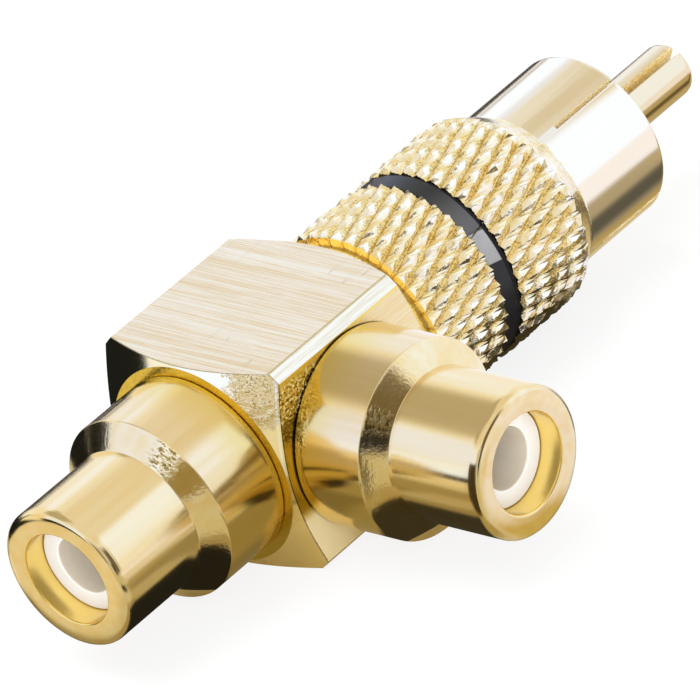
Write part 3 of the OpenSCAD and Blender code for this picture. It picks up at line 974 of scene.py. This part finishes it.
def knurl_gold(name):
    """Plate over the rolled knurl: bright ridges, and painted shade as deep gold in the grooves of one
    family, at the crossings, along the grooves' edges and low between the ridges.
    """
    tree = new_tree(name)
    x, y, z = tree.axes(tree.place())
    radius = tree.length(x, z)
    ripples = tree.noise((1.7, 1.1, 1.7), roughness=0.6)
    grain = tree.noise((8, 8, 8), detail=2, roughness=0.6, shift=(4, 4, 4))
    waver = tree.noise((0.55, 0.55, 0.55), detail=2, shift=(3, 1, 6)).swing(0.45)

    # Both families of grooves, counted in diamonds round the axis and along it
    round_axis = z.math("ARCTAN2", x) * (KNURL_COUNT / (2 * math.pi))
    along_axis = (y - (grip_low.y - KNURL_PERIOD / 2)) * (1 / KNURL_PERIOD)
    sway = 0.075 * ((round_axis + along_axis) * (2 * math.pi)).math("SINE")
    to_groove = abs((round_axis - along_axis + waver + sway + 0.5).math("FRACT") - 0.5)
    to_groove = to_groove + ripples.swing(0.12)
    to_cross = abs((round_axis + along_axis + waver + 0.5).math("FRACT") - 0.5)

    knurl_end = grip_low.y + KNURL_LEN
    knurled = tree.ramp(y, knurl_end + 0.1, knurl_end - 0.1)
    groove = tree.ramp(to_groove, 0.20, 0.08) * knurled
    cross = tree.ramp(to_cross, 0.12, 0.04) * knurled
    # Painted shade: where the knurl is painted darker, low between the ridges, in spots there and along
    # the grooves' edges
    deep = tree.ramp(radius, grip_r - 0.08, grip_r - 0.24) * knurled
    shade_spots = tree.ramp(grain + 0.2 * groove, 0.70, 0.76) * deep
    fringe_shade = tree.within(to_groove - 0.16, 0.015, 0.02) * knurled
    fringe_shade = fringe_shade * tree.ramp(grain, 0.42, 0.52)

    colour = tree.blend(tree.ramp(ripples, 0.40, 0.56), *KNURL_PLATE)
    # Painted shade: deeper gold low between the ridges, in the grooves, at the crossings, along the
    # grooves' edges and in dark spots
    colour = tree.blend(0.4 * deep, colour, KNURL_DEEP_SHADE)
    colour = tree.blend(0.85 * groove, colour, tree.blend(ripples, *GROOVE_SHADE))
    colour = tree.blend(0.5 * cross, colour, CROSS_SHADE)
    colour = tree.blend(0.55 * fringe_shade, colour, FRINGE_SHADE)
    colour = tree.blend(0.6 * shade_spots, colour, KNURL_SHADE_SPOT)
    rough = 0.13 + grain.swing(0.12) + 0.06 * groove
    height = 0.05 * ripples + 0.006 * grain - 0.02 * groove
    return tree.surface(Base_Color=colour, Metallic=1.0, Roughness=rough, Normal=tree.bump(height))


def satin_gold(name):
    tree = new_tree(name)
    grain = tree.noise((3, 3, 3))
    colour = tree.blend(grain, DEEP_GOLD, GOLD)
    return tree.surface(Base_Color=colour, Metallic=1.0, Roughness=0.3 + grain.swing(0.2),
                        Normal=tree.bump(grain, 0.004))


def band_black(name):
    """Black plastic, with a painted reflection beside the cut, a painted sheen leading to it, and a sunk
    lip on the plug's side painted dark as shadow.
    """
    tree = new_tree(name)
    x, y, z = tree.axes(tree.place())
    lines = tree.noise((0.4, 12, 0.4))
    cloud = tree.noise((0.8, 0.8, 0.8), shift=(2, 2, 2))
    middle = (band_low.y + band_high.y) / 2
    turn = tree.angle(z, x) + (y - middle) * (math.tan(BAND_CUT_SLANT) / BAND_R * DEGREES)
    reflection_patch = tree.within(turn - (BAND_CUT_ANGLE * DEGREES - REFLECTION_BACK), REFLECTION_HALF, 0.6)
    shade = tree.ramp(turn, *SHEEN_FADE) * tree.ramp(turn, *SHEEN_START)
    shadowed_lip_w = 0.12 + 0.2 * tree.ramp(turn, 90, 10)
    shadowed_lip = tree.ramp(y + shadowed_lip_w, band_high.y - 0.03, band_high.y + 0.03)
    colour = tree.blend(cloud, *BAND_PLASTIC)
    # Painted sheen and painted reflection on the black plastic near the cut
    colour = tree.blend(0.6 * shade, colour, BAND_SHEEN)
    colour = tree.blend(reflection_patch, colour, tree.blend(cloud, *BAND_REFLECTION))
    # Painted shadow: the sunk lip on the plug's side is painted near black, wider lower round the band
    colour = tree.blend(shadowed_lip, colour, BAND_LIP_SHADOW)
    rough = 0.3 + cloud.swing(0.12) + 0.4 * shadowed_lip
    height = 0.003 * lines - 0.06 * shadowed_lip
    return tree.surface(Base_Color=colour, Roughness=rough, Specular_IOR_Level=0.25,
                        Normal=tree.bump(height))


def moulded(name, colours):
    tree = new_tree(name)
    cloud = tree.noise((1.2, 1.2, 1.2))
    grain = tree.noise((8, 8, 8), detail=2, shift=(6, 1, 2))
    return tree.surface(Base_Color=tree.blend(cloud, *colours), Roughness=0.38 + cloud.swing(0.1),
                        Normal=tree.bump(grain, 0.003))


def bush_white(name, along, middle):
    """White plastic round a jack's axis, with painted shade inside the pin's hole."""
    tree = new_tree(name)
    place = tree.axes(tree.place())
    cloud = tree.noise((1.2, 1.2, 1.2))
    radius = tree.length(place[1 - along] - middle, place[Z])
    hole = tree.ramp(radius, JACK_HOLE_R + 0.05, JACK_HOLE_R + 0.01)
    # Painted shade: a darker, warmer white inside the hole
    colour = tree.blend(hole, tree.blend(cloud, *BUSH_PLASTIC), tree.blend(cloud, *BUSH_HOLE_SHADE))
    return tree.surface(Base_Color=colour, Roughness=0.34 + cloud.swing(0.1),
                        Normal=tree.bump(cloud, 0.02))


def tinned(name, colours, rough):
    tree = new_tree(name)
    cloud = tree.noise((3, 3, 3))
    return tree.surface(Base_Color=tree.blend(cloud, *colours), Metallic=1.0,
                        Roughness=rough + cloud.swing(0.2), Normal=tree.bump(cloud, 0.01))


def dress(piece, material):
    piece.data.materials.clear()
    piece.data.materials.append(material)


# Studio

# The sizes of the tent, the floor and the lamps, in metres
TENT_R = 1.0
FLOOR_SIZE = 4
LAMP_SIZE = 0.5

# The tent's panels, each over the ones before: azimuth from +X towards +Y and elevation of its
# middle, half its width and height, its soft edge, all in degrees, and its colour
DARK_CARD = (0.012, 0.012, 0.011)
TENT_PANELS = (
    (90, 68, 180, 24, 10, (0.86, 0.80, 0.69)),
    (-170, 66, 52, 24, 9, (0.52, 0.465, 0.35)),
    (60, 8, 27, 36, 6, (1.0, 1.12, 1.45)),
    (138, 20, 9, 15, 5, (1.0, 1.11, 1.45)),
    (-118, 24, 30, 13, 4, (0.93, 1.02, 1.40)),
    (-112, 3, 18, 10, 5, (1.0, 1.15, 1.60)),
    (-3, 14, 26, 24, 12, (0.179, 0.143, 0.08)),
    (-50, 8, 17, 30, 6, (0.62, 0.60, 0.58)),
    (-26, 5, 8, 8, 2, DARK_CARD),
    (-76, 7, 13, 15, 4, (0.34, 0.255, 0.09)),
    (155, -5, 15, 8, 8, (0.11, 0.095, 0.06)),
    (189, -5, 21, 8, 8, DARK_CARD),
    (-157.5, 2, 11.5, 15, 1.5, DARK_CARD),
)

FLOOR_PAINT = (0.9, 0.9, 0.9)
# How much of the floor's white the camera sees, over its matt paint that keeps the shadow
FLOOR_SHOWN = 0.86

# The floor as the metal shows it: painted patches of shadow and of light, each over the ones before,
# with the middle, the half sizes and the soft edge in millimetres
REAR_PAPER = (0.97, 0.96, 1.08)
FLOOR_PAINTED_PATCHES = (
    (0, -146, 300, 120, 24, (0.65, 0.58, 0.38)),
    (-14, -84, 24, 30, 10, (0.86, 0.76, 0.52)),
    (-12, -56, 11, 9, 6, (0.85, 0.74, 0.50)),
    (-13.5, -45, 3, 2.5, 2, (0.95, 0.85, 0.60)),
    (24, -20, 5, 6, 5, (0.93, 0.90, 1.02)),
    (33, -24, 5, 5, 4, (0.83, 0.73, 0.53)),
    (300, -150, 150, 70, 20, (0.02, 0.018, 0.014)),
    (-322, 27, 300, 35, 6, (0.065, 0.055, 0.032)),
    (-322, -215, 300, 205, 5, DARK_CARD),
    (15, -34, 5.5, 4.6, 3, (0.44, 0.34, 0.14)),
    (18.6, -25.4, 3, 3, 3, (0.60, 0.47, 0.17)),
    (4, -28.5, 11, 8.5, 2, (0.33, 0.26, 0.12)),
    (0, -40.5, 9, 5.5, 2, (0.38, 0.30, 0.14)),
    (8.6, -37.2, 2.6, 2.0, 1.5, (0.50, 0.41, 0.22)),
    (2.5, -33, 2.5, 5, 2, (0.23, 0.18, 0.085)),
    (3, -12, 8, 8, 4, (0.045, 0.036, 0.018)),
    (13.2, -9.5, 3, 5, 2, (0.06, 0.048, 0.025)),
    (9.5, 2, 6.5, 8, 4, (0.44, 0.36, 0.24)),
    (2.4, 2, 1.2, 7, 1.5, (0.66, 0.52, 0.28)),
    (3.9, 2, 0.7, 7, 1, (0.46, 0.33, 0.12)),
    (7.0, 1.5, 2.0, 6.5, 2.5, (0.11, 0.10, 0.08)),
    (5.5, 13, 8, 6.5, 3, (0.52, 0.42, 0.22)),
    (5, 12, 1.6, 6, 2.4, (0.14, 0.10, 0.045)),
    (19, -48, 4, 7, 1.5, (0.05, 0.04, 0.02)),
)

# Cards that stand close to the object: the axis that each faces, its middle, its half sizes across
# and up, its soft edge, and the distance up to which the metal sees it, in millimetres, and its colour
CARDS = {
    # Painted shadow: dark cards under the jacks that only nearby metal mirrors, in place of the shade
    # beneath them
    "shadow_card_under_inline_jack": (Z, (3.7, -40.1, -4.3), (2.5, 3.4), 0.6, 5.2, (0.018, 0.016, 0.012)),
    "shadow_card_under_side_jack": (Z, (12.2, -31.0, -4.3), (3.3, 2.6), 0.6, 5.0, (0.045, 0.038, 0.022)),
    "card_behind_side_jack": (Y, (9.8, -20.9, 0.8), (6.2, 4.6), 1.0, 30, (1.0, 1.03, 1.14)),
    "card_by_inline_mouth": (Y, (-4.8, -46.0, 5.0), (2.6, 2.2), 0.8, 7, (0.95, 0.86, 0.62)),
    "card_by_side_mouth": (Y, (16.4, -34.5, -1.0), (2.4, 4.8), 0.5, 5.2, (0.06, 0.042, 0.018)),
}

# The lamps' power in watts and their place in metres
LAMPS = {"top_lamp": (3.6, (-0.15, -0.1, 0.6)), "fill_lamp": (1.4, (0.32, -0.30, 0.22))}
ROOM_LIGHT = 0.7


def metal_only(piece):
    piece.visible_camera = piece.visible_shadow = piece.visible_diffuse = False


def add_world():
    """White for the rays that show the background, and a plain level of light for the rest."""
    world = bpy.data.worlds.new("studio")
    bpy.context.scene.world = world
    tree = Tree(world)
    shows = tree.ray("Camera") + tree.ray("Glossy") + tree.ray("Transmission")
    strength = ROOM_LIGHT + (1 - ROOM_LIGHT) * shows
    light = tree.add("ShaderNodeBackground", {"Color": opaque(WHITE), "Strength": strength})
    tree.add("ShaderNodeOutputWorld", {"Surface": light})


def add_tent():
    """A paper tent that only the metal sees, with soft boxes and dark cards as its panels."""
    tent = added("tent", bpy.ops.mesh.primitive_uv_sphere_add, segments=64, ring_count=32, radius=TENT_R)
    metal_only(tent)
    tree = new_tree("tent")
    own = tree.add("ShaderNodeTexCoord", out="Object")
    x, y, z = tree.axes(tree.add("ShaderNodeVectorMath", {0: own}, operation="NORMALIZE"))
    height = z.math("ARCSINE") * DEGREES
    colour = WHITE
    for azimuth, elevation, half_width, half_height, edge, paint in TENT_PANELS:
        c, s = math.cos(math.radians(azimuth)), math.sin(math.radians(azimuth))
        turn = tree.angle(y * c - x * s, x * c + y * s)
        inside = tree.within(turn, half_width, edge) * tree.within(height - elevation, half_height, edge)
        colour = tree.blend(inside, colour, paint)
    dress(tent, tree.cover(tree.glow(colour)))


def add_card(name, facing, middle, half_sizes, edge, reach, paint):
    """A small card with soft edges that only the metal sees, and only from up to the reach away."""
    card = added(name, bpy.ops.mesh.primitive_plane_add, size=2 * MM)
    card.scale = (half_sizes[0] + edge, half_sizes[1] + edge, 1)
    metal_only(card)
    tip = Matrix.Rotation(math.pi / 2, 4, "X") if facing == Y else Matrix.Identity(4)
    settle(card, Matrix.Translation([part * MM for part in middle]) @ tip)
    tree = new_tree(name)
    place = tree.axes(tree.place())
    up = Z if facing == Y else Y
    inside = tree.within(place[X] - middle[X], half_sizes[0], edge)
    inside = inside * tree.within(place[up] - middle[up], half_sizes[1], edge)
    away = tree.add("ShaderNodeLightPath", out="Ray Length") * (1 / MM)
    inside = inside * tree.ramp(away, reach + 0.5, reach - 0.5)
    clear = tree.add("ShaderNodeBsdfTransparent")
    dress(card, tree.cover(tree.add("ShaderNodeMixShader", {0: inside, 1: clear, 2: tree.glow(paint)})))


def add_lamp(name, power, place):
    """A broad soft lamp that faces the object, for the plastics and the floor's shadow."""
    lamp = bpy.data.objects.new(name, bpy.data.lights.new(name, "AREA"))
    bpy.context.scene.collection.objects.link(lamp)
    lamp.data.size = LAMP_SIZE
    lamp.data.energy = power
    lamp.visible_glossy = False
    away = Vector(place) - CAMERA_AIM
    lamp.matrix_world = Matrix.Translation(place) @ away.to_track_quat("Z", "Y").to_matrix().to_4x4()


def add_floor():
    """A pale floor that keeps the shadow, and that the metal sees with painted patches of shadow and light
    on it.
    """
    floor = added("floor", bpy.ops.mesh.primitive_plane_add, size=FLOOR_SIZE,
                  location=(0, 0, block_low.z * MM))
    tree = new_tree("floor")
    x, y = tree.axes(tree.place())[:2]
    painted_floor = REAR_PAPER
    for middle_x, middle_y, half_x, half_y, edge, paint in FLOOR_PAINTED_PATCHES:
        inside = tree.within(x - middle_x, half_x, edge) * tree.within(y - middle_y, half_y, edge)
        painted_floor = tree.blend(inside, painted_floor, paint)
    glossy_ray = tree.ray("Glossy")
    shown = FLOOR_SHOWN * (tree.ray("Camera") + tree.ray("Transmission")) + glossy_ray
    matt = tree.add("ShaderNodeBsdfDiffuse", {"Color": opaque(FLOOR_PAINT)})
    glow = tree.glow(tree.blend(glossy_ray, WHITE, painted_floor))
    dress(floor, tree.cover(tree.add("ShaderNodeMixShader", {0: shown, 1: matt, 2: glow})))


# The pieces, the nodes that they stand for and their finishes

def stand_for(piece, node, material):
    dress(piece, material)
    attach(piece, "root")
    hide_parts(node)


add_camera()

inline_gold = jack_gold("inline_gold", Y, face=block_low.y, outwards=-1, middle=0,
                        chatter=(56, 8), joint=(0.05, 0.7), flecked=(4.9, -2.2, 0.7))
side_gold = jack_gold("side_gold", X, face=block_high.x, outwards=1, middle=block_mid_y,
                      chatter=(135, 6), joint=(0.11, 1.0), flecked=(-4.65, 2.7, 1.7))
plug_finish = plug_gold("plug_gold")
white = moulded("white_moulding", WHITE_PLASTIC)
ivory = moulded("ivory_moulding", IVORY_PLASTIC)
contact = satin_gold("satin_gold")

stand_for(make_block(), "body_block", block_gold("block_gold"))
inline_shell = make_jack_shell("inline_barrel", on_inline_face())
stand_for(inline_shell, "inline_jack_shell", inline_gold)
side_shell = make_jack_shell("side_barrel", on_side_face())
stand_for(side_shell, "side_jack_shell", side_gold)
inline_bush = make_jack_bush("inline_bush", on_inline_face())
inline_white = bush_white("inline_white", Y, middle=0)
stand_for(inline_bush, "inline_jack_insulator", inline_white)
side_bush = make_jack_bush("side_bush", on_side_face())
side_white = bush_white("side_white", X, middle=block_mid_y)
stand_for(side_bush, "side_jack_insulator", side_white)
stand_for(make_grip(), "knurled_grip", knurl_gold("knurled_gold"))
stand_for(make_band(), "grip_band", band_black("band_black"))
stand_for(make_shell(), "plug_shell", plug_finish)
stand_for(make_pin(), "plug_pin", plug_finish)

# The nodes that keep their own shape
KEPT_NODES = {
    "plug_insulator": white,
    "inline_jack_contact": contact,
    "side_jack_contact": contact,
    "centre_rod": contact,
    "inline_rear_washer": ivory,
    "side_rear_washer": ivory,
    "side_lead": tinned("tinned_lead", TINNED_LEAD, rough=0.3),
    "centre_solder": tinned("solder", SOLDER, rough=0.4),
}
for node, finish in KEPT_NODES.items():
    dress(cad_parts[node], finish)

add_world()
add_tent()
for name, card in CARDS.items():
    add_card(name, *card)
for name, lamp in LAMPS.items():
    add_lamp(name, *lamp)
add_floor()
bpy.context.scene.view_settings.view_transform = "Standard"
